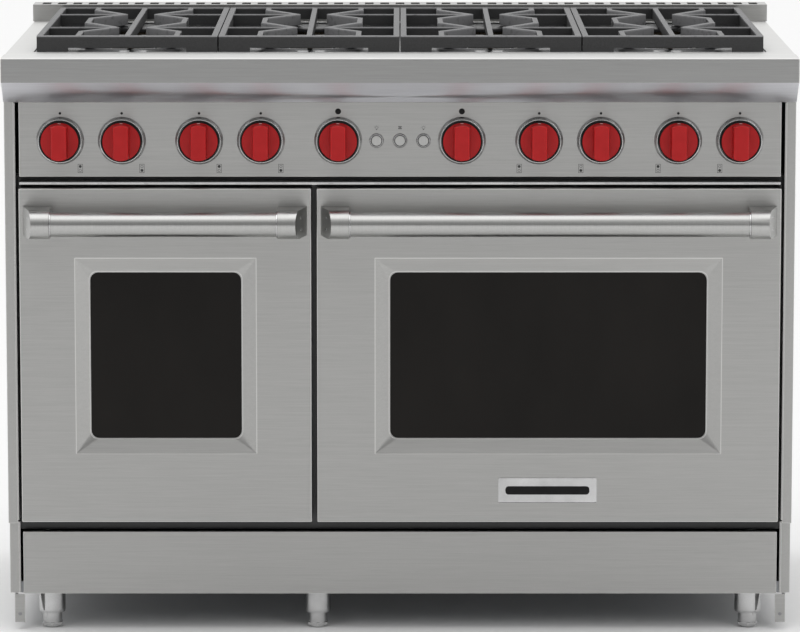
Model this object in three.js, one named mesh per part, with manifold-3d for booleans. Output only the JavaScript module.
// A freestanding gas range: eight burners, two ovens, drop-down doors and levelling feet.
// Millimetres. +X is to the right of a cook facing the range, +Y runs to the back, +Z is up.
// The origin is on the floor, under the middle of the range's outer box.
import * as THREE from "three";
import { mergeVertices } from "three/addons/utils/BufferGeometryUtils.js";
import Module from "manifold-3d";

// ---- Driving dimensions -------------------------------------------------------------------

// Whole range
const WIDTH = 1216; // over the ends of the bullnose
const COOKTOP_HEIGHT = 902; // floor to cooktop, with the feet screwed right in
const BODY_DEPTH = 720; // bullnose face to back
const GAP = 0.3; // between pieces that touch
const SHEET = 1.6; // outer sheet steel
const RING_SIDES = 16; // flats on a round piece about 40 mm across
const SMALL_SIDES = 10; // flats on a pin or stem
const WIDE_SIDES = 20; // flats on a knob or bowl
const TUBE_SIDES = 24; // flats on a handle tube or fan disc
const OVERRUN = 1; // how far a cutting tool runs past a face, or one joined solid into another
const LINER_SHEET = 2; // enamelled inner sheet

// Depths of the front faces, counted back from the bullnose face
const DOOR_SETBACK = 35;
const PANEL_SETBACK = 50.3;
const POST_SETBACK = 52;
const KICK_SETBACK = 65;
const LOW_POST_SETBACK = 72;

// Bullnose
const NOSE_FACE = 38;
const CHAMFER_DROP = 34;
const CHAMFER_RUN = 42;
const NOSE_LIP = 8;
const NOSE_TOP = 60; // depth of its top strip

// Cooktop
const RIM_INSET = 1.5; // of the cooktop frame, inside the bullnose's ends
const PAN_SIDE_MARGIN = 43; // outer width to pan opening
const PAN_FRONT = 100;
const PAN_REAR_MARGIN = 68;
const PAN_DROP = 2; // rim to pan flange
const BOWL_RADIUS = 100;
const BOWL_DEPTH = 24;
const RISER_DEPTH = 55;
const RISER_HEIGHT = 28;
const SLOT_PITCH = 25.5;
const SLOT_WIDTH = 14.5;
const SLOT_MARGIN = 10; // slot end to riser face
const SLOT_END_MARGIN = 14; // last slot to riser end

// Grates
const GRATE_MARGIN = 4; // grate field to pan opening, at the sides
const GRATE_FRONT_GAP = 1;
const GRATE_REAR_GAP = 5;
const GRATE_SPLIT = 2; // between two grates
const GRATE_RISE = 24.7; // cooktop to grate top
const GRATE_WALL = 9;
const GRATE_WALL_HEIGHT = 18.5;
const GRATE_FOOT = 48;
const GRATE_BAR = 8;
const GRATE_FOOT_DROP = 1; // grate top to the flat on a corner foot
const FINGER_WIDTH = 11;
const FINGER_HEIGHT = 17;
const FINGER_SPREAD = 76; // sideways, burner centre to finger end
const FINGER_APEX = 26; // sideways, burner centre to the point of the V
const FINGER_FRONT = 74; // forwards, burner centre to finger end
const FINGER_REAR = 88;
const BURNER_FRONT_INSET = 159; // grate front to front burner
const BURNER_REAR_INSET = 138;

// Burners
const BURNER_RADIUS = 46;
const BURNER_CAP_RADIUS = 36;
const BURNER_BASE = 10; // height of the burner's base
const BURNER_WAIST_INSET = 2; // cap edge to waist
const BURNER_WAIST = [16, 22]; // heights where the waist starts and ends
const BURNER_CAP_BOTTOM = 24;
const BURNER_CAP_EDGE = 3; // height of the cap's chamfer
const BURNER_CAP_RUN = 4; // width of the cap's chamfer
const BURNER_HEIGHT = 32;

// Control panel
const PANEL_HEIGHT = 116;
const PANEL_DEPTH = 34;
const KNOB_HEIGHT = 56; // panel bottom to knob axis
const KNOB_END_MARGIN = 63.8; // panel end to outermost knob
const KNOB_PAIR_PITCH = 94.7;
const OVEN_KNOB_OFFSET = 94.9;
const KNOB_RADIUS = 31;
const KNOB_RIM = 1.7; // skirt's edge to the knob's face
const KNOB_CHAMFER = 3; // depth of the skirt's chamfer
const KNOB_STANDOFF = 2.2; // panel to the back of the knob's skirt
const KNOB_SKIRT = 12;
const GRIP_WIDTH = 25.7;
const GRIP_TOP_GAP = 6; // grip bar to the edge of the face, at the top and at the bottom
const GRIP_BOTTOM_GAP = 3;
const GRIP_CORNER = 8;
const GRIP_REACH = 24; // grip bar, out from the skirt
const STEM_RADIUS = 6;
const STEM_CLEARANCE = 1;
const STEM_LENGTH = 24; // back from the skirt
const BEZEL_WIDTH = 5;
const BEZEL_HEIGHT = 6;
const BEZEL_CLEARANCE = 1;
const BUTTON_PITCH = 36;
const BUTTON_RADIUS = 8;
const BUTTON_CLEARANCE = 0.5;
const BUTTON_RING = 2.5;
const BUTTON_PROUD = 3.2;
const BUTTON_BODY = 16; // behind the panel
const BUTTON_STEP = 2; // head to the thinner body behind it

// Gas manifold
const PIPE_RADIUS = 11;
const VALVE_WIDTH = 26;
const VALVE_HEIGHT = 36;
const VALVE_DEPTH = 34;

// Posts, doors and kick panel
const POST_WIDTH = 14.6;
const POST_GAP = 8; // post to door
const DOOR_SPLIT = 8.2; // between the doors
const LEFT_DOOR_WIDTH = 449.1;
const DOOR_THICKNESS = 46;
const DOOR_VENT_GAP = 16.6; // door top to control panel
const DOOR_SILL_GAP = 20.8; // kick panel to door bottom
const KICK_END_GAP = 6.8; // post to kick panel
const POST_STEP_DROP = 5; // door bottom to where the posts step back
const KICK_HEIGHT = 98.1;
const SEAL_GAP = 5; // door back to face frame
const WINDOW_SIDE_MARGIN = [85, 89.6]; // door edge to bevel, left door and right door
const WINDOW_MARGIN = 107.4; // door top or bottom to bevel
const WINDOW_BEVEL = 23.3;
const WINDOW_RECESS = 9;
const WINDOW_LEDGE = 2; // flat ledge between bevel and opening
const WINDOW_CORNER = 12;
const COLLAR = 2.5; // metal behind the recess
const GLASS_THICKNESS = 5;
const GLASS_LAP = 12;
const PLUG_DEPTH = 2.6; // raised middle of the inner door panel
const PLUG_MARGIN = 62;
const TRIM_HEIGHT = 4.5;
const TRIM_DROP = 8; // panel bottom to trim top

// Handles
const HANDLE_DROP = 49.4; // door top to handle axis
const HANDLE_STANDOFF = 70; // door face to front of handle
const TUBE_RADIUS = 19;
const BRACKET_RIM = 3.3; // tube to bracket
const BRACKET_WIDTH = 44; // at the door
const BRACKET_SLANT = 16.8; // how much narrower it is at the front
const HANDLE_INSET = 6.3; // door edge to bracket
const TUBE_LET_IN = 8; // how far the tube runs into a bracket
const BRACKET_ARC_STEPS = 10;

// Door hinges
const HINGE_HEIGHT = 12.5; // door bottom to hinge axis
const HINGE_BACK = 21; // hinge axis to door back
const HINGE_INSET = 60; // door edge to hinge
const EAR_WIDTH = 10;
const EAR_HALF = 7;
const PIN_RADIUS = 4;
const PIN_CLEARANCE = 0.3;
const NOTCH_CLEARANCE = 2;
const NOTCH_HEIGHT = 28;
const BOSS_WIDTH = 6;

// Ovens
const OVEN_SIDE_INSET = 34; // door edge to cavity
const OVEN_FLOOR = 50; // door bottom to cavity
const OVEN_CEILING = 50; // door top to cavity
const OVEN_REAR_SPACE = 120; // cavity to the back of the range
const RACK_LEVEL = 170; // cavity floor to rack
const RACK_WIRE = 5;
const RACK_LET_IN = 0.6; // how far the cross rods sit inside the side rods' height
const RACK_SIDE_GAP = 5;
const RACK_FRONT_GAP = 14;
const RACK_LENGTH_SPARE = 60; // cavity depth that the rack leaves free
const RACK_WIRES = [7, 11]; // left rack and right rack
const RAIL_WIDTH = 9;
const RAIL_HEIGHT = 5;
const FAN_RADIUS = 80;
const FAN_DEPTH = 18;
const FAN_REAR_GAP = 6; // fan disc to the oven's back wall
const FAN_HUB_RADIUS = 14;
const FAN_BLADE_LENGTH = 40;
const FAN_BLADE_INSET = 4; // disc edge to blade end
const FAN_COVER_SIZE = 214;
const FAN_COVER_DEPTH = 32;
const FAN_BLADES = 8;
const FAN_SLOT_ROWS = [-3, -2, -1, 0, 1, 2, 3];
const FAN_SLOT_PITCH = 18;
const FAN_SLOT_HEIGHT = 8;

// Base, feet and leg brackets
const BASE_BOTTOM = 58.3;
const BASE_WALL = 18;
const FOOT_SIDE_INSET = 63.7;
const FOOT_FRONT = 100; // bullnose face to the front feet's axis
const FOOT_REAR_INSET = 80;
const MIDDLE_FOOT_OFFSET = 3.4; // from the split between the doors
const SLEEVE_WALL = 5.35;
const SLEEVE_BOTTOM = 24;
const SLEEVE_TOP = 150;
const FOOT_STEM_RADIUS = 14.75;
const FOOT_CLEARANCE = 0.4;
const FOOT_STEM_TOP = 128;
const FOOT_PAD_RADIUS = 12;
const FOOT_PAD_HEIGHT = 3;
const FOOT_HEX_RIM = 2.75; // stem to the corners of the hexagon
const FOOT_HEX_HEIGHT = 5;
const BRACKET_OUTER_INSET = 7; // outer width to leg bracket
const LEG_BRACKET_FLANGE = 16;
const LEG_BRACKET_FRONT = 70;
const LEG_BRACKET_LENGTH = 60;
const LEG_BRACKET_BOTTOM = 12;

// Badge plate on the right door
const BADGE_WIDTH = 152;
const BADGE_HEIGHT = 39;
const BADGE_THICKNESS = 0.8;
const BADGE_RISE = 50; // door bottom to badge centre
const BADGE_OFFSET = -0.5; // from the middle of the door

// ---- Derived places -----------------------------------------------------------------------

const HANDLE_REACH = HANDLE_STANDOFF - DOOR_SETBACK; // handles, in front of the bullnose
const FRONT = -(BODY_DEPTH - HANDLE_REACH) / 2;
const HALF = WIDTH / 2;
const KICK_BOTTOM = BASE_BOTTOM + GAP;
const PANEL_TOP = COOKTOP_HEIGHT - NOSE_FACE - CHAMFER_DROP;
const PANEL_BOTTOM = PANEL_TOP - PANEL_HEIGHT;
const DOOR_TOP = PANEL_BOTTOM - DOOR_VENT_GAP;
const KICK_TOP = KICK_BOTTOM + KICK_HEIGHT;
const DOOR_BOTTOM = KICK_TOP + DOOR_SILL_GAP;
const DOOR_BACK = DOOR_SETBACK + DOOR_THICKNESS;
const FRAME_FRONT = DOOR_BACK + SEAL_GAP;
const FRAME_BACK = FRAME_FRONT + LINER_SHEET;
const DOOR_EDGE = HALF - POST_WIDTH - POST_GAP;
const SIDE_TOP = COOKTOP_HEIGHT - NOSE_FACE - GAP;
const HINGE = { depth: DOOR_BACK - HINGE_BACK, height: DOOR_BOTTOM + HINGE_HEIGHT };
const SPLIT = -DOOR_EDGE + LEFT_DOOR_WIDTH + DOOR_SPLIT / 2;
const LINER_BACK = BODY_DEPTH - OVEN_REAR_SPACE;
const CAVITY_BOTTOM = DOOR_BOTTOM + OVEN_FLOOR;
const CAVITY_TOP = DOOR_TOP - OVEN_CEILING;
const KNOB_AXIS = PANEL_BOTTOM + KNOB_HEIGHT;
const KNOB_FACE_RADIUS = KNOB_RADIUS - KNOB_RIM;
const BRACKET_RADIUS = TUBE_RADIUS + BRACKET_RIM;
const SLEEVE_RADIUS = FOOT_STEM_RADIUS + FOOT_CLEARANCE + SLEEVE_WALL;
const FOOT_HEX_RADIUS = FOOT_STEM_RADIUS + FOOT_HEX_RIM;
const LEG_BRACKET_TOP = BASE_BOTTOM - SHEET;

const DOORS = [
  { name: "left", from: -DOOR_EDGE, to: -DOOR_EDGE + LEFT_DOOR_WIDTH },
  { name: "right", from: SPLIT + DOOR_SPLIT / 2, to: DOOR_EDGE },
];

// ---- Solids -------------------------------------------------------------------------------

const wasm = await Module();
wasm.setup();

// World Y of a depth behind the bullnose face.
const at = (depth) => FRONT + depth;

// The solid inside a closed geometry.
function solid(geometry) {
  const bare = geometry.index ? geometry.toNonIndexed() : geometry.clone();
  bare.deleteAttribute("normal");
  bare.deleteAttribute("uv");
  const merged = mergeVertices(bare, 1e-4);
  const vertProperties = merged.attributes.position.array;
  const triVerts = new Uint32Array(merged.index.array);
  return new wasm.Manifold(new wasm.Mesh({ numProp: 3, vertProperties, triVerts }));
}

const join = (solids) => solids.reduce((whole, piece) => whole.add(piece));
const cut = (whole, tools) => tools.reduce((left, tool) => left.subtract(tool), whole);

// A rectangular block between two corners, given as x, depth and z spans in either order.
function block([x0, x1], [d0, d1], [z0, z1]) {
  const box = new THREE.BoxGeometry(Math.abs(x1 - x0), Math.abs(d1 - d0), Math.abs(z1 - z0));
  return solid(box.translate((x0 + x1) / 2, at((d0 + d1) / 2), (z0 + z1) / 2));
}

// A tray: a block hollowed from one side by an inner block.
const tray = (outer, inner) => block(...outer).subtract(block(...inner));

// An outline of [depth, z] points drawn out along X.
function prismAlongX(points, [x0, x1]) {
  const shape = new THREE.Shape(points.map(([d, z]) => new THREE.Vector2(at(d), z)));
  const drawn = new THREE.ExtrudeGeometry(shape, { depth: x1 - x0, bevelEnabled: false });
  const turn = new THREE.Matrix4().makeBasis(
    new THREE.Vector3(0, 1, 0),
    new THREE.Vector3(0, 0, 1),
    new THREE.Vector3(1, 0, 0),
  );
  return solid(drawn.applyMatrix4(turn).translate(x0, 0, 0));
}

// A shape in x and z drawn out along the depth.
function prismAlongY(shape, [d0, d1], curveSegments = 4) {
  const drawn = new THREE.ExtrudeGeometry(shape, {
    depth: d1 - d0,
    bevelEnabled: false,
    curveSegments,
  });
  return solid(drawn.rotateX(Math.PI / 2).translate(0, at(d1), 0));
}

// A rectangle in x and z with round corners.
function roundedRectangle([x0, x1], [z0, z1], r) {
  const shape = new THREE.Shape();
  shape.moveTo(x0 + r, z0);
  shape.absarc(x1 - r, z0 + r, r, -Math.PI / 2, 0);
  shape.absarc(x1 - r, z1 - r, r, 0, Math.PI / 2);
  shape.absarc(x0 + r, z1 - r, r, Math.PI / 2, Math.PI);
  shape.absarc(x0 + r, z0 + r, r, Math.PI, Math.PI * 1.5);
  return shape;
}

// A block whose front face and back face are different rectangles, each [[x0, x1], [z0, z1]].
function taperedBlock(front, back, [d0, d1]) {
  const box = new THREE.BoxGeometry(2, 2, 2);
  const corners = box.attributes.position;
  for (let i = 0; i < corners.count; i++) {
    const face = corners.getY(i) < 0 ? front : back;
    const x = face[0][corners.getX(i) < 0 ? 0 : 1];
    const z = face[1][corners.getZ(i) < 0 ? 0 : 1];
    corners.setXYZ(i, x, at(corners.getY(i) < 0 ? d0 : d1), z);
  }
  return solid(box);
}

// A turned solid about a vertical axis: profile points are [radius, z], from bottom to top.
function turnedUp(profile, [x, depth], sides) {
  const points = profile.map(([r, z]) => new THREE.Vector2(r, z));
  const turned = new THREE.LatheGeometry(points, sides).rotateX(Math.PI / 2);
  return solid(turned.translate(x, at(depth), 0));
}

// A turned solid about a front-to-back axis: profile points are [radius, depth], front to back.
function turnedForward(profile, [x, z], sides) {
  const points = profile.map(([r, d]) => new THREE.Vector2(r, at(d)));
  return solid(new THREE.LatheGeometry(points, sides).translate(x, 0, z));
}

// Round bars along each axis.
function barAlongX(radius, [x0, x1], [depth, z], sides) {
  const bar = new THREE.CylinderGeometry(radius, radius, x1 - x0, sides);
  return solid(bar.rotateZ(Math.PI / 2).translate((x0 + x1) / 2, at(depth), z));
}
function barAlongY(radius, [d0, d1], [x, z], sides) {
  const bar = new THREE.CylinderGeometry(radius, radius, d1 - d0, sides);
  return solid(bar.translate(x, at((d0 + d1) / 2), z));
}
function barAlongZ(radius, [z0, z1], [x, depth], sides) {
  const bar = new THREE.CylinderGeometry(radius, radius, z1 - z0, sides);
  return solid(bar.rotateX(Math.PI / 2).translate(x, at(depth), (z0 + z1) / 2));
}

// A level rectangular bar from one [x, depth] point to another.
function levelBar([xa, da], [xb, db], width, [z0, z1]) {
  const length = Math.hypot(xb - xa, db - da);
  const bar = new THREE.BoxGeometry(length, width, z1 - z0);
  bar.rotateZ(Math.atan2(db - da, xb - xa));
  return solid(bar.translate((xa + xb) / 2, at((da + db) / 2), (z0 + z1) / 2));
}

// ---- Finishes and the group ---------------------------------------------------------------

const finish = (color, roughness, metalness) =>
  new THREE.MeshStandardMaterial({ color, roughness, metalness });
const STAINLESS = finish(0xb4b4b2, 0.32, 1);
const BRIGHT_STEEL = finish(0xcfcfcf, 0.18, 1);
const DARK_ENAMEL = finish(0x1d1d1f, 0.45, 0);
const OVEN_ENAMEL = finish(0x23283a, 0.35, 0);
const CAST_IRON = finish(0x2b2b2c, 0.7, 0.2);
const GALVANISED = finish(0x9a9d9f, 0.5, 1);
const BRASS = finish(0xb08d4c, 0.4, 1);
const RED_PLASTIC = finish(0xad2223, 0.35, 0);
const DARK_GLASS = finish(0x17130f, 0.06, 0);
const ALUMINIUM = finish(0x8f8f90, 0.5, 1);

const range = new THREE.Group();

function addNode(name, made, material) {
  const mesh = made.getMesh();
  const geometry = new THREE.BufferGeometry();
  geometry.setAttribute("position", new THREE.BufferAttribute(mesh.vertProperties, 3));
  geometry.setIndex(new THREE.BufferAttribute(mesh.triVerts, 1));
  const faceted = geometry.toNonIndexed();
  faceted.computeVertexNormals();
  const node = new THREE.Mesh(faceted, material);
  node.name = name;
  range.add(node);
}

// ---- Body ---------------------------------------------------------------------------------

// A side panel is a pan: outer skin, and returns at front and back that make the posts.
function sidePanel(side) {
  const outer = side * HALF;
  const skin = side * (HALF - SHEET);
  const post = side * (HALF - POST_WIDTH);
  const low = KICK_TOP + DOOR_SILL_GAP - POST_STEP_DROP;
  const span = [BASE_BOTTOM, SIDE_TOP];
  return join([
    block([skin, outer], [POST_SETBACK, BODY_DEPTH], [low, SIDE_TOP]),
    block([skin, outer], [LOW_POST_SETBACK, BODY_DEPTH], [BASE_BOTTOM, low]),
    block([post, outer], [POST_SETBACK, POST_SETBACK + SHEET], [low, PANEL_TOP - GAP]),
    block([post, outer], [LOW_POST_SETBACK, LOW_POST_SETBACK + SHEET], [BASE_BOTTOM, low]),
    block([post, outer], [BODY_DEPTH - SHEET, BODY_DEPTH], span),
  ]);
}

function rearPanel() {
  const edge = HALF - POST_WIDTH - GAP;
  return block([-edge, edge], [BODY_DEPTH - SHEET, BODY_DEPTH], [BASE_BOTTOM, SIDE_TOP]);
}

const FEET = [
  ["foot_front_left", -HALF + FOOT_SIDE_INSET, FOOT_FRONT],
  ["foot_front_middle", SPLIT + MIDDLE_FOOT_OFFSET, FOOT_FRONT],
  ["foot_front_right", HALF - FOOT_SIDE_INSET, FOOT_FRONT],
  ["foot_rear_left", -HALF + FOOT_SIDE_INSET, BODY_DEPTH - FOOT_REAR_INSET],
  ["foot_rear_right", HALF - FOOT_SIDE_INSET, BODY_DEPTH - FOOT_REAR_INSET],
];

// The base pan, with a threaded sleeve welded through it at each foot.
function baseFrame() {
  const edge = HALF - SHEET - GAP;
  const front = LOW_POST_SETBACK + SHEET + GAP;
  const back = BODY_DEPTH - SHEET - GAP;
  const top = BASE_BOTTOM + BASE_WALL;
  const pan = tray(
    [[-edge, edge], [front, back], [BASE_BOTTOM, top]],
    [
      [-edge + SHEET, edge - SHEET],
      [front + SHEET, back - SHEET],
      [BASE_BOTTOM + SHEET, top + OVERRUN],
    ],
  );
  const sleeves = FEET.map(([, x, depth]) =>
    barAlongZ(SLEEVE_RADIUS, [SLEEVE_BOTTOM, SLEEVE_TOP], [x, depth], RING_SIDES),
  );
  const bores = FEET.map(([, x, depth]) =>
    barAlongZ(FOOT_STEM_RADIUS + FOOT_CLEARANCE, [0, SLEEVE_TOP + OVERRUN], [x, depth], RING_SIDES),
  );
  return cut(join([pan, ...sleeves]), bores);
}

// A levelling foot: pad, hexagon for the spanner and a long stem that screws into the sleeve.
function foot(x, depth) {
  const shoulder = FOOT_PAD_HEIGHT + FOOT_HEX_HEIGHT;
  return join([
    barAlongZ(FOOT_PAD_RADIUS, [0, FOOT_PAD_HEIGHT + OVERRUN], [x, depth], RING_SIDES),
    barAlongZ(FOOT_HEX_RADIUS, [FOOT_PAD_HEIGHT, shoulder], [x, depth], 6),
    barAlongZ(FOOT_STEM_RADIUS, [shoulder - OVERRUN, FOOT_STEM_TOP], [x, depth], RING_SIDES),
  ]);
}

// A leg bracket: a narrow front flange, and a web behind it that tapers up to the body.
function legBracket(side) {
  const outer = side * (HALF - BRACKET_OUTER_INSET);
  const inner = outer - side * LEG_BRACKET_FLANGE;
  const web = outer - side * SHEET;
  const front = LEG_BRACKET_FRONT;
  const tall = [LEG_BRACKET_BOTTOM, LEG_BRACKET_TOP];
  const profile = [
    [front, LEG_BRACKET_BOTTOM],
    [front + LEG_BRACKET_LENGTH, LEG_BRACKET_TOP - SHEET],
    [front + LEG_BRACKET_LENGTH, LEG_BRACKET_TOP],
    [front, LEG_BRACKET_TOP],
  ];
  return join([
    block([inner, outer], [front, front + SHEET], tall),
    prismAlongX(profile, [Math.min(outer, web), Math.max(outer, web)]),
  ]);
}

// The face frame behind the doors: two oven openings, and the ears that carry the hinge pins.
function frontFrame() {
  const edge = HALF - SHEET - GAP;
  const bottom = KICK_TOP + GAP;
  const plate = block([-edge, edge], [FRAME_FRONT, FRAME_BACK], [bottom, PANEL_BOTTOM - GAP]);
  const openings = DOORS.map((door) =>
    block(cavitySpan(door), [FRAME_FRONT - OVERRUN, FRAME_BACK + OVERRUN], [CAVITY_BOTTOM, CAVITY_TOP]),
  );
  const ears = hingePlaces().map((x) =>
    block(
      [x - EAR_WIDTH / 2, x + EAR_WIDTH / 2],
      [HINGE.depth - EAR_HALF, FRAME_FRONT + OVERRUN],
      [HINGE.height - EAR_HALF, HINGE.height + EAR_HALF],
    ),
  );
  const bores = hingePlaces().map((x) =>
    barAlongX(
      PIN_RADIUS + PIN_CLEARANCE,
      [x - EAR_WIDTH, x + EAR_WIDTH],
      [HINGE.depth, HINGE.height],
      SMALL_SIDES,
    ),
  );
  return cut(join([cut(plate, openings), ...ears]), bores);
}

function cavitySpan(door) {
  return [door.from + OVEN_SIDE_INSET, door.to - OVEN_SIDE_INSET];
}

function hingePlaces(doors = DOORS) {
  return doors.flatMap((door) => [door.from + HINGE_INSET, door.to - HINGE_INSET]);
}

// An oven liner: a box open at the front, with a rail on each side for the rack.
function ovenLiner(door) {
  const [x0, x1] = cavitySpan(door);
  const front = FRAME_BACK + GAP;
  const railTop = CAVITY_BOTTOM + RACK_LEVEL;
  const box = tray(
    [
      [x0 - LINER_SHEET, x1 + LINER_SHEET],
      [front, LINER_BACK + LINER_SHEET],
      [CAVITY_BOTTOM - LINER_SHEET, CAVITY_TOP + LINER_SHEET],
    ],
    [[x0, x1], [front - OVERRUN, LINER_BACK], [CAVITY_BOTTOM, CAVITY_TOP]],
  );
  const rails = [
    [x0 - OVERRUN, x0 + RAIL_WIDTH],
    [x1 - RAIL_WIDTH, x1 + OVERRUN],
  ].map((span) =>
    block(span, [front + RACK_FRONT_GAP, LINER_BACK + OVERRUN], [railTop - RAIL_HEIGHT, railTop]),
  );
  return join([box, ...rails]);
}

// An oven rack: a rod frame lying on the liner's rails, with wires let into its top.
function ovenRack(door, wires) {
  const [x0, x1] = cavitySpan(door);
  const left = x0 + RACK_SIDE_GAP;
  const right = x1 - RACK_SIDE_GAP;
  const front = FRAME_BACK + RACK_FRONT_GAP;
  const back = LINER_BACK - RACK_LENGTH_SPARE;
  const bottom = CAVITY_BOTTOM + RACK_LEVEL + GAP;
  const half = RACK_WIRE / 2;
  const sideSpan = [bottom, bottom + RACK_WIRE];
  const rodSpan = [bottom + RACK_LET_IN, bottom + RACK_WIRE - RACK_LET_IN];
  const wireSpan = [bottom + half, bottom + RACK_WIRE + half / 2];
  const pitch = (right - left) / (wires + 1);
  const sides = [
    [left, left + RACK_WIRE],
    [right - RACK_WIRE, right],
  ].map((span) => block(span, [front, back], sideSpan));
  const rods = [front + half, (front + back) / 2, back - half - RACK_WIRE].map((depth) =>
    block([left + half, right - half], [depth, depth + RACK_WIRE], rodSpan),
  );
  const runs = Array.from({ length: wires }, (_, i) => left + (i + 1) * pitch).map((x) =>
    block([x - half, x + half], [front + RACK_WIRE, back - RACK_WIRE], wireSpan),
  );
  return join([...sides, ...rods, ...runs]);
}

const FAN_CENTRE = {
  x: (DOORS[1].from + DOORS[1].to) / 2,
  z: (CAVITY_BOTTOM + CAVITY_TOP) / 2,
};

// The convection fan: a hub and a disc with upright blades.
function convectionFan() {
  const back = LINER_BACK - FAN_REAR_GAP;
  const { x, z } = FAN_CENTRE;
  const disc = barAlongY(FAN_RADIUS, [back - SHEET, back], [x, z], TUBE_SIDES);
  const hub = barAlongY(FAN_HUB_RADIUS, [back - FAN_DEPTH, back], [x, z], RING_SIDES);
  const reach = FAN_RADIUS - FAN_BLADE_INSET - FAN_BLADE_LENGTH / 2;
  const blades = Array.from({ length: FAN_BLADES }, (_, i) => {
    const blade = new THREE.BoxGeometry(FAN_BLADE_LENGTH, FAN_DEPTH, SHEET);
    blade.translate(reach, at(back - FAN_DEPTH / 2), 0);
    blade.rotateY((i * 2 * Math.PI) / FAN_BLADES);
    return solid(blade.translate(x, 0, z));
  });
  return join([disc, hub, ...blades]);
}

// The fan's cover: a pan on the oven's back wall with level slots in its face.
function fanCover() {
  const half = FAN_COVER_SIZE / 2;
  const back = LINER_BACK - GAP;
  const face = back - FAN_COVER_DEPTH;
  const { x, z } = FAN_CENTRE;
  const pan = tray(
    [[x - half, x + half], [face, back], [z - half, z + half]],
    [
      [x - half + LINER_SHEET, x + half - LINER_SHEET],
      [face + LINER_SHEET, back + OVERRUN],
      [z - half + LINER_SHEET, z + half - LINER_SHEET],
    ],
  );
  const through = [face - OVERRUN, face + LINER_SHEET + OVERRUN];
  const slots = FAN_SLOT_ROWS.map((row) => z + row * FAN_SLOT_PITCH).map((level) =>
    block([x - half / 2, x + half / 2], through, [
      level - FAN_SLOT_HEIGHT / 2,
      level + FAN_SLOT_HEIGHT / 2,
    ]),
  );
  return cut(pan, slots);
}

function kickPanel() {
  const edge = HALF - POST_WIDTH - KICK_END_GAP;
  const tall = [KICK_BOTTOM, KICK_TOP];
  const back = LOW_POST_SETBACK + SHEET;
  return tray(
    [[-edge, edge], [KICK_SETBACK, back], tall],
    [
      [-edge + SHEET, edge - SHEET],
      [KICK_SETBACK + SHEET, back + OVERRUN],
      [KICK_BOTTOM + SHEET, KICK_TOP - SHEET],
    ],
  );
}

// ---- Cooktop ------------------------------------------------------------------------------

// The bullnose: a folded sheet with closed ends, open at the back.
function bullnose() {
  const top = COOKTOP_HEIGHT;
  const lip = CHAMFER_RUN + NOSE_LIP;
  const faceBottom = top - NOSE_FACE;
  const outline = [
    [0, top],
    [0, faceBottom],
    [CHAMFER_RUN, PANEL_TOP],
    [lip, PANEL_TOP],
    [lip, faceBottom],
    [NOSE_TOP, faceBottom],
    [NOSE_TOP, top],
  ];
  const hollow = [
    [SHEET, top - SHEET],
    [SHEET, faceBottom + SHEET / 2],
    [CHAMFER_RUN + SHEET / 2, PANEL_TOP + SHEET],
    [lip - SHEET, PANEL_TOP + SHEET],
    [lip - SHEET, faceBottom + SHEET],
    [NOSE_TOP + OVERRUN, faceBottom + SHEET],
    [NOSE_TOP + OVERRUN, top - SHEET],
  ];
  const inside = prismAlongX(hollow, [-HALF + SHEET, HALF - SHEET]);
  return prismAlongX(outline, [-HALF, HALF]).subtract(inside);
}

const PAN = {
  side: HALF - PAN_SIDE_MARGIN,
  back: BODY_DEPTH - PAN_REAR_MARGIN,
  top: COOKTOP_HEIGHT - PAN_DROP,
};

// The cooktop frame: a folded rim with skirts, open in the middle for the burner pan.
function cooktopFrame() {
  const edge = HALF - RIM_INSET;
  const front = NOSE_TOP + GAP;
  const back = BODY_DEPTH;
  const skirt = COOKTOP_HEIGHT - NOSE_FACE;
  const shell = tray(
    [[-edge, edge], [front, back], [skirt, COOKTOP_HEIGHT]],
    [
      [-edge + SHEET, edge - SHEET],
      [front - OVERRUN, back - SHEET],
      [skirt - OVERRUN, COOKTOP_HEIGHT - SHEET],
    ],
  );
  return shell.subtract(
    block([-PAN.side, PAN.side], [PAN_FRONT, PAN.back], [skirt, COOKTOP_HEIGHT + OVERRUN]),
  );
}

const GRATE_FIELD = PAN.side - GRATE_MARGIN;
const GRATE_PITCH = (2 * GRATE_FIELD) / 4;
const GRATE_FRONT = PAN_FRONT + GRATE_FRONT_GAP;
const GRATE_BACK = PAN.back - GRATE_REAR_GAP;
const GRATE_CENTRES = [0, 1, 2, 3].map((i) => -GRATE_FIELD + (i + 0.5) * GRATE_PITCH);
const BURNER_ROWS = [
  ["front", GRATE_FRONT + BURNER_FRONT_INSET],
  ["rear", GRATE_BACK - BURNER_REAR_INSET],
];

// The burner pan: a black tray set just under the rim, with a round bowl for each burner.
function burnerPan() {
  const plate = block(
    [-PAN.side + GAP, PAN.side - GAP],
    [PAN_FRONT + GAP, PAN.back - GAP],
    [PAN.top - LINER_SHEET, PAN.top],
  );
  const places = GRATE_CENTRES.flatMap((x) => BURNER_ROWS.map(([, depth]) => [x, depth]));
  const floor = PAN.top - BOWL_DEPTH;
  const cups = places.map((place) =>
    barAlongZ(BOWL_RADIUS + LINER_SHEET, [floor - LINER_SHEET, PAN.top - OVERRUN], place, WIDE_SIDES),
  );
  const bowls = places.map((place) =>
    barAlongZ(BOWL_RADIUS, [floor, PAN.top + OVERRUN], place, WIDE_SIDES),
  );
  return cut(join([plate, ...cups]), bowls);
}

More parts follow.
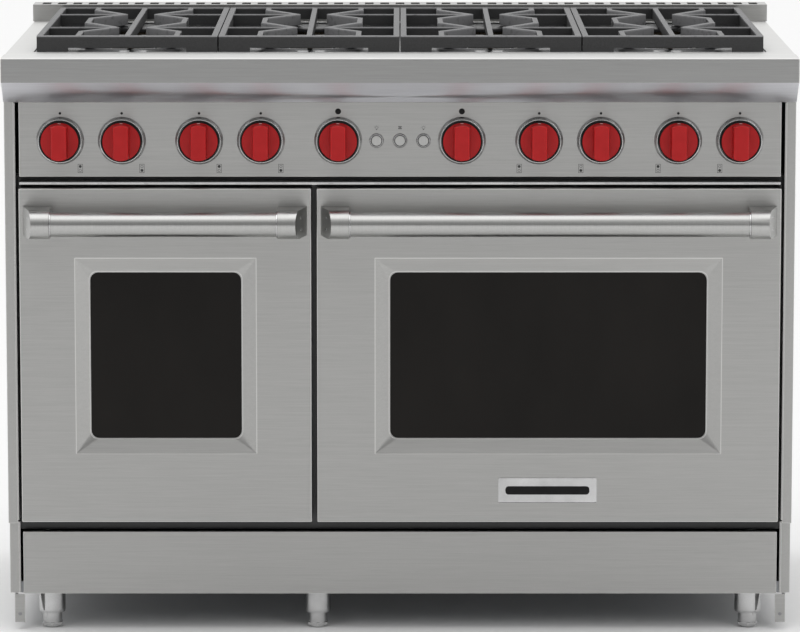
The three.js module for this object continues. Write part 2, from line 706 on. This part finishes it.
// A burner: cast base, waist and round cap.
function burner(x, depth) {
  const seat = PAN.top - BOWL_DEPTH + GAP;
  const waist = BURNER_CAP_RADIUS - BURNER_WAIST_INSET;
  const profile = [
    [0, seat],
    [BURNER_RADIUS, seat],
    [BURNER_RADIUS, seat + BURNER_BASE],
    [waist, seat + BURNER_WAIST[0]],
    [waist, seat + BURNER_WAIST[1]],
    [BURNER_CAP_RADIUS, seat + BURNER_CAP_BOTTOM],
    [BURNER_CAP_RADIUS, seat + BURNER_HEIGHT - BURNER_CAP_EDGE],
    [BURNER_CAP_RADIUS - BURNER_CAP_RUN, seat + BURNER_HEIGHT],
    [0, seat + BURNER_HEIGHT],
  ];
  return turnedUp(profile, [x, depth], RING_SIDES);
}

// A two-burner grate: rim walls on corner feet, a spine, and four fingers round each burner.
function grate(centre) {
  const top = COOKTOP_HEIGHT + GRATE_RISE;
  const wallSpan = [top - GRATE_WALL_HEIGHT, top];
  const fingerSpan = [top - FINGER_HEIGHT, top];
  const half = (GRATE_PITCH - GRATE_SPLIT) / 2;
  const [left, right] = [centre - half, centre + half];
  const wall = [
    [left, left + GRATE_WALL],
    [right - GRATE_WALL, right],
  ];
  const frontEnd = GRATE_FRONT + OVERRUN;
  const backEnd = GRATE_BACK - OVERRUN;
  const ends = [
    [GRATE_FRONT, GRATE_FRONT + GRATE_WALL],
    [GRATE_BACK - GRATE_WALL, GRATE_BACK],
  ];
  const pieces = [
    ...wall.map((span) => block(span, [GRATE_FRONT, GRATE_BACK], wallSpan)),
    ...ends.map((span) => block([left, right], span, wallSpan)),
    levelBar([centre, frontEnd], [centre, backEnd], GRATE_BAR, fingerSpan),
  ];
  const footSpan = [PAN.top + GAP, top - GRATE_FOOT_DROP];
  for (const side of [-1, 1])
    for (const span of ends) {
      const outer = centre + side * half;
      pieces.push(block([outer - side * GRATE_FOOT, outer], span, footSpan));
    }
  const linkEnds = [frontEnd];
  for (const [, depth] of BURNER_ROWS) {
    linkEnds.push(depth - FINGER_FRONT, depth + FINGER_REAR);
    for (const side of [-1, 1]) {
      const apex = [centre + side * FINGER_APEX, depth];
      const spread = centre + side * FINGER_SPREAD;
      const outer = [centre + side * (half - OVERRUN), depth];
      pieces.push(levelBar([spread, depth - FINGER_FRONT], apex, FINGER_WIDTH, fingerSpan));
      pieces.push(levelBar([spread, depth + FINGER_REAR], apex, FINGER_WIDTH, fingerSpan));
      pieces.push(levelBar(apex, outer, GRATE_BAR, fingerSpan));
    }
  }
  linkEnds.push(backEnd);
  const letIn = GRATE_BAR / 2;
  for (let i = 0; i < linkEnds.length; i += 2)
    for (const side of [-1, 1]) {
      const x = centre + side * FINGER_SPREAD;
      const from = i === 0 ? linkEnds[i] : linkEnds[i] - letIn;
      const to = i === linkEnds.length - 2 ? linkEnds[i + 1] : linkEnds[i + 1] + letIn;
      pieces.push(levelBar([x, from], [x, to], GRATE_BAR, fingerSpan));
    }
  return join(pieces);
}

// The riser: a hollow upstand along the back with a row of slots in its top for oven air.
function backguard() {
  const front = BODY_DEPTH - RISER_DEPTH;
  const back = BODY_DEPTH;
  const bottom = COOKTOP_HEIGHT + GAP;
  const top = COOKTOP_HEIGHT + RISER_HEIGHT;
  const shell = tray(
    [[-HALF, HALF], [front, back], [bottom, top]],
    [[-HALF + SHEET, HALF - SHEET], [front + SHEET, back - SHEET], [bottom - OVERRUN, top - SHEET]],
  );
  const room = HALF - SLOT_END_MARGIN - SLOT_WIDTH / 2;
  const each = Math.floor(room / SLOT_PITCH);
  const slots = Array.from({ length: 2 * each + 1 }, (_, i) => (i - each) * SLOT_PITCH).map((x) =>
    block(
      [x - SLOT_WIDTH / 2, x + SLOT_WIDTH / 2],
      [front + SLOT_MARGIN, back - SLOT_MARGIN],
      [top - SHEET - OVERRUN, top + OVERRUN],
    ),
  );
  return shell.subtract(join(slots));
}

// ---- Controls -----------------------------------------------------------------------------

const PANEL_EDGE = DOOR_EDGE;
const OUTER_KNOB = PANEL_EDGE - KNOB_END_MARGIN;
const OUTER_PAIR = OUTER_KNOB - KNOB_PAIR_PITCH;
const INNER_PAIR = (OVEN_KNOB_OFFSET + OUTER_PAIR) / 2;
const KNOB_OFFSETS = [
  -OUTER_KNOB,
  -OUTER_PAIR,
  -INNER_PAIR - KNOB_PAIR_PITCH / 2,
  -INNER_PAIR + KNOB_PAIR_PITCH / 2,
  -OVEN_KNOB_OFFSET,
  OVEN_KNOB_OFFSET,
  INNER_PAIR - KNOB_PAIR_PITCH / 2,
  INNER_PAIR + KNOB_PAIR_PITCH / 2,
  OUTER_PAIR,
  OUTER_KNOB,
];
const KNOB_NAMES = [
  "knob_burner_1",
  "knob_burner_2",
  "knob_burner_3",
  "knob_burner_4",
  "knob_oven_left",
  "knob_oven_right",
  "knob_burner_5",
  "knob_burner_6",
  "knob_burner_7",
  "knob_burner_8",
];
const BUTTONS = [
  ["button_light_left", -BUTTON_PITCH],
  ["button_fan", 0],
  ["button_light_right", BUTTON_PITCH],
];

// A raised disc on the control panel, which becomes a ring once it is bored.
function panelDisc(x, inner, width, height) {
  const front = PANEL_SETBACK - height;
  const profile = [
    [0, front],
    [inner + width / 3, front],
    [inner + width, PANEL_SETBACK],
    [inner + width, PANEL_SETBACK + SHEET / 2],
    [0, PANEL_SETBACK + SHEET / 2],
  ];
  return turnedForward(profile, [x, KNOB_AXIS], RING_SIDES);
}

// The control panel: a pan open at the back, with knob bezels, button rings and their holes.
function controlPanel() {
  const pan = tray(
    [
      [-PANEL_EDGE, PANEL_EDGE],
      [PANEL_SETBACK, PANEL_SETBACK + PANEL_DEPTH],
      [PANEL_BOTTOM, PANEL_TOP - GAP],
    ],
    [
      [-PANEL_EDGE + SHEET, PANEL_EDGE - SHEET],
      [PANEL_SETBACK + SHEET, PANEL_SETBACK + PANEL_DEPTH + OVERRUN],
      [PANEL_BOTTOM + SHEET, PANEL_TOP - GAP - SHEET],
    ],
  );
  const bezelBore = KNOB_RADIUS + BEZEL_CLEARANCE;
  const bezels = KNOB_OFFSETS.map((x) => panelDisc(x, bezelBore, BEZEL_WIDTH, BEZEL_HEIGHT));
  const seat = [PANEL_SETBACK - BEZEL_HEIGHT - OVERRUN, PANEL_SETBACK];
  const seats = KNOB_OFFSETS.map((x) => barAlongY(bezelBore, seat, [x, KNOB_AXIS], RING_SIDES));
  const ringHeight = BUTTON_PROUD - OVERRUN;
  const rings = BUTTONS.map(([, x]) =>
    panelDisc(x, BUTTON_RADIUS + BUTTON_CLEARANCE, BUTTON_RING, ringHeight),
  );
  const through = [PANEL_SETBACK - BUTTON_PROUD, PANEL_SETBACK + SHEET + OVERRUN];
  const stemHoles = KNOB_OFFSETS.map((x) =>
    barAlongY(STEM_RADIUS + STEM_CLEARANCE, through, [x, KNOB_AXIS], SMALL_SIDES),
  );
  const buttonHoles = BUTTONS.map(([, x]) =>
    barAlongY(BUTTON_RADIUS + BUTTON_CLEARANCE, through, [x, KNOB_AXIS], RING_SIDES),
  );
  return cut(join([pan, ...bezels, ...rings]), [...seats, ...stemHoles, ...buttonHoles]);
}

// A knob: round skirt and face, a grip bar across it, and a stem that goes into the valve.
function knob(x) {
  const back = PANEL_SETBACK - KNOB_STANDOFF;
  const face = back - KNOB_SKIRT;
  const body = turnedForward(
    [
      [0, face],
      [KNOB_FACE_RADIUS, face],
      [KNOB_RADIUS, face + KNOB_CHAMFER],
      [KNOB_RADIUS, back],
      [0, back],
    ],
    [x, KNOB_AXIS],
    WIDE_SIDES,
  );
  const grip = prismAlongY(
    roundedRectangle(
      [x - GRIP_WIDTH / 2, x + GRIP_WIDTH / 2],
      [KNOB_AXIS - KNOB_FACE_RADIUS + GRIP_BOTTOM_GAP, KNOB_AXIS + KNOB_FACE_RADIUS - GRIP_TOP_GAP],
      GRIP_CORNER,
    ),
    [face - GRIP_REACH, face + OVERRUN],
    2,
  );
  const stem = barAlongY(STEM_RADIUS, [back - OVERRUN, back + STEM_LENGTH], [x, KNOB_AXIS], SMALL_SIDES);
  return join([body, grip, stem]);
}

// A push button: a round head with a longer, thinner body behind the panel.
function button(x) {
  const front = PANEL_SETBACK - BUTTON_PROUD;
  const head = barAlongY(
    BUTTON_RADIUS,
    [front, PANEL_SETBACK + SHEET + BUTTON_BODY / 2],
    [x, KNOB_AXIS],
    RING_SIDES,
  );
  const body = [PANEL_SETBACK + SHEET + OVERRUN, PANEL_SETBACK + SHEET + BUTTON_BODY];
  return head.add(barAlongY(BUTTON_RADIUS - BUTTON_STEP, body, [x, KNOB_AXIS], SMALL_SIDES));
}

// The gas pipe behind the panel, with a valve body in line with each knob.
function gasManifold() {
  const valveFront = PANEL_SETBACK - KNOB_STANDOFF + STEM_LENGTH + GAP;
  const pipeDepth = valveFront + VALVE_DEPTH;
  const ends = [-OUTER_KNOB - VALVE_WIDTH, OUTER_KNOB + VALVE_WIDTH];
  const pipe = barAlongX(PIPE_RADIUS, ends, [pipeDepth, KNOB_AXIS], SMALL_SIDES);
  const valves = KNOB_OFFSETS.map((x) =>
    block(
      [x - VALVE_WIDTH / 2, x + VALVE_WIDTH / 2],
      [valveFront, pipeDepth],
      [KNOB_AXIS - VALVE_HEIGHT / 2, KNOB_AXIS + VALVE_HEIGHT / 2],
    ),
  );
  return join([pipe, ...valves]);
}

// The bright strip in the air gap between control panel and doors.
function ventTrim() {
  const top = PANEL_BOTTOM - TRIM_DROP;
  const outline = [
    [POST_SETBACK, top - TRIM_HEIGHT],
    [POST_SETBACK + SHEET, top - TRIM_HEIGHT],
    [POST_SETBACK + SHEET, top - SHEET],
    [FRAME_FRONT - GAP, top - SHEET],
    [FRAME_FRONT - GAP, top],
    [POST_SETBACK, top],
  ];
  return prismAlongX(outline, [-DOOR_EDGE, DOOR_EDGE]);
}

// ---- Doors --------------------------------------------------------------------------------

// The spans of a door's window: the bevel's outer edge, and the opening for the glass.
function windowOf(door) {
  const side = WINDOW_SIDE_MARGIN[DOORS.indexOf(door)];
  const outer = [
    [door.from + side, door.to - side],
    [DOOR_BOTTOM + WINDOW_MARGIN, DOOR_TOP - WINDOW_MARGIN],
  ];
  const inner = outer.map(([low, high]) => [low + WINDOW_BEVEL, high - WINDOW_BEVEL]);
  return { outer, inner };
}

const grown = (spans, by) => spans.map(([low, high]) => [low - by, high + by]);

function hingeNotches(door) {
  const half = EAR_WIDTH / 2 + NOTCH_CLEARANCE;
  return hingePlaces([door]).map((x) =>
    block(
      [x - half, x + half],
      [DOOR_SETBACK + SHEET, DOOR_BACK + PLUG_DEPTH + OVERRUN],
      [DOOR_BOTTOM - OVERRUN, DOOR_BOTTOM + NOTCH_HEIGHT],
    ),
  );
}

const SKIN_BACK = DOOR_BACK - LINER_SHEET - GAP;

// The door's outer skin: a pan open at the back, with a bevelled recess round the window.
function doorSkin(door) {
  const { outer, inner } = windowOf(door);
  const pan = tray(
    [[door.from, door.to], [DOOR_SETBACK, SKIN_BACK], [DOOR_BOTTOM, DOOR_TOP]],
    [
      [door.from + SHEET, door.to - SHEET],
      [DOOR_SETBACK + SHEET, SKIN_BACK + OVERRUN],
      [DOOR_BOTTOM + SHEET, DOOR_TOP - SHEET],
    ],
  );
  const floor = DOOR_SETBACK + WINDOW_RECESS;
  const collar = taperedBlock(grown(outer, COLLAR), grown(inner, COLLAR + WINDOW_BEVEL / 2), [
    DOOR_SETBACK,
    floor + COLLAR,
  ]);
  const recess = taperedBlock(outer, grown(inner, WINDOW_LEDGE), [DOOR_SETBACK, floor]);
  const mouth = block(outer[0], [DOOR_SETBACK - OVERRUN, DOOR_SETBACK], outer[1]);
  const opening = prismAlongY(roundedRectangle(...inner, WINDOW_CORNER), [
    DOOR_SETBACK,
    floor + COLLAR + OVERRUN,
  ]);
  return cut(join([pan, collar]), [mouth, recess, opening, ...hingeNotches(door)]);
}

// The window glass, clamped behind the recess.
function doorGlass(door) {
  const [xs, zs] = grown(windowOf(door).inner, GLASS_LAP - WINDOW_BEVEL / 4);
  const front = DOOR_SETBACK + WINDOW_RECESS + COLLAR + GAP;
  return block(xs, [front, front + GLASS_THICKNESS], zs);
}

// The door's inner panel: a plate with a raised plug, and bosses with the hinge pins.
function doorInner(door) {
  const plate = block(
    [door.from, door.to],
    [DOOR_BACK - LINER_SHEET, DOOR_BACK],
    [DOOR_BOTTOM, DOOR_TOP],
  );
  const plug = block(
    [door.from + PLUG_MARGIN, door.to - PLUG_MARGIN],
    [DOOR_BACK - OVERRUN, DOOR_BACK + PLUG_DEPTH],
    [DOOR_BOTTOM + PLUG_MARGIN, DOOR_TOP - PLUG_MARGIN],
  );
  const half = EAR_WIDTH / 2 + NOTCH_CLEARANCE;
  const bosses = hingePlaces([door]).flatMap((x) =>
    [-1, 1].map((side) =>
      block(
        [x + side * half, x + side * (half + BOSS_WIDTH)],
        [HINGE.depth - EAR_HALF, DOOR_BACK - OVERRUN],
        [HINGE.height - EAR_HALF, HINGE.height + EAR_HALF],
      ),
    ),
  );
  const reach = half + OVERRUN;
  const pins = hingePlaces([door]).map((x) =>
    barAlongX(PIN_RADIUS, [x - reach, x + reach], [HINGE.depth, HINGE.height], SMALL_SIDES),
  );
  return join([cut(plate.add(plug), hingeNotches(door)), ...bosses, ...pins]);
}

// A handle bracket: round in front, flat-sided back to the door, its outer end slanted.
function handleBracket(edge, side, axis) {
  const front = DOOR_SETBACK - HANDLE_STANDOFF;
  const centre = front + BRACKET_RADIUS;
  const outline = [
    [DOOR_SETBACK - GAP, axis + BRACKET_RADIUS],
    [DOOR_SETBACK - GAP, axis - BRACKET_RADIUS],
  ];
  for (let i = 0; i <= BRACKET_ARC_STEPS; i++) {
    const angle = -Math.PI / 2 - (i * Math.PI) / BRACKET_ARC_STEPS;
    outline.push([
      centre + BRACKET_RADIUS * Math.cos(angle),
      axis + BRACKET_RADIUS * Math.sin(angle),
    ]);
  }
  const span = [edge, edge - side * BRACKET_WIDTH].sort((a, b) => a - b);
  const whole = prismAlongX(outline, span);
  const slant = new THREE.Shape([
    new THREE.Vector2(edge, at(DOOR_SETBACK)),
    new THREE.Vector2(edge - side * BRACKET_SLANT, at(front)),
    new THREE.Vector2(edge - side * BRACKET_SLANT, at(front - OVERRUN)),
    new THREE.Vector2(edge + side, at(front - OVERRUN)),
    new THREE.Vector2(edge + side, at(DOOR_SETBACK)),
  ]);
  const tall = 2 * (BRACKET_RADIUS + OVERRUN);
  const wedge = new THREE.ExtrudeGeometry(slant, { depth: tall, bevelEnabled: false });
  return whole.subtract(solid(wedge.translate(0, 0, axis - tall / 2)));
}

// A handle: a tube between two brackets.
function doorHandle(door) {
  const axis = DOOR_TOP - HANDLE_DROP;
  const [left, right] = [door.from + HANDLE_INSET, door.to - HANDLE_INSET];
  const depth = DOOR_SETBACK - HANDLE_STANDOFF + BRACKET_RADIUS;
  const reach = BRACKET_WIDTH - TUBE_LET_IN;
  return join([
    barAlongX(TUBE_RADIUS, [left + reach, right - reach], [depth, axis], TUBE_SIDES),
    handleBracket(left, -1, axis),
    handleBracket(right, 1, axis),
  ]);
}

function badgePlate() {
  const door = DOORS[1];
  const x = (door.from + door.to) / 2 + BADGE_OFFSET;
  const z = DOOR_BOTTOM + BADGE_RISE;
  return block(
    [x - BADGE_WIDTH / 2, x + BADGE_WIDTH / 2],
    [DOOR_SETBACK - GAP - BADGE_THICKNESS, DOOR_SETBACK - GAP],
    [z - BADGE_HEIGHT / 2, z + BADGE_HEIGHT / 2],
  );
}

// ---- Assembly -----------------------------------------------------------------------------

addNode("side_panel_left", sidePanel(-1), STAINLESS);
addNode("side_panel_right", sidePanel(1), STAINLESS);
addNode("rear_panel", rearPanel(), GALVANISED);
addNode("base_frame", baseFrame(), GALVANISED);
addNode("front_frame", frontFrame(), DARK_ENAMEL);
addNode("kick_panel", kickPanel(), STAINLESS);
addNode("leg_bracket_left", legBracket(-1), STAINLESS);
addNode("leg_bracket_right", legBracket(1), STAINLESS);
addNode("bullnose", bullnose(), STAINLESS);
addNode("cooktop_frame", cooktopFrame(), STAINLESS);
addNode("burner_pan", burnerPan(), DARK_ENAMEL);
addNode("backguard", backguard(), STAINLESS);
addNode("control_panel", controlPanel(), STAINLESS);
addNode("gas_manifold", gasManifold(), BRASS);
addNode("vent_trim", ventTrim(), BRIGHT_STEEL);
addNode("convection_fan", convectionFan(), ALUMINIUM);
addNode("fan_cover", fanCover(), OVEN_ENAMEL);
addNode("badge_plate", badgePlate(), BRIGHT_STEEL);

for (const [name, x, depth] of FEET) addNode(name, foot(x, depth), BRIGHT_STEEL);

GRATE_CENTRES.forEach((x, i) => {
  addNode(`grate_${i + 1}`, grate(x), CAST_IRON);
  for (const [row, depth] of BURNER_ROWS)
    addNode(`burner_${row}_${i + 1}`, burner(x, depth), CAST_IRON);
});

KNOB_NAMES.forEach((name, i) => addNode(name, knob(KNOB_OFFSETS[i]), RED_PLASTIC));
for (const [name, x] of BUTTONS) addNode(name, button(x), BRIGHT_STEEL);

DOORS.forEach((door, i) => {
  addNode(`oven_liner_${door.name}`, ovenLiner(door), OVEN_ENAMEL);
  addNode(`oven_rack_${door.name}`, ovenRack(door, RACK_WIRES[i]), BRIGHT_STEEL);
  addNode(`door_${door.name}_skin`, doorSkin(door), STAINLESS);
  addNode(`door_${door.name}_inner`, doorInner(door), DARK_ENAMEL);
  addNode(`door_${door.name}_glass`, doorGlass(door), DARK_GLASS);
  addNode(`door_${door.name}_handle`, doorHandle(door), BRIGHT_STEEL);
});

export default range;
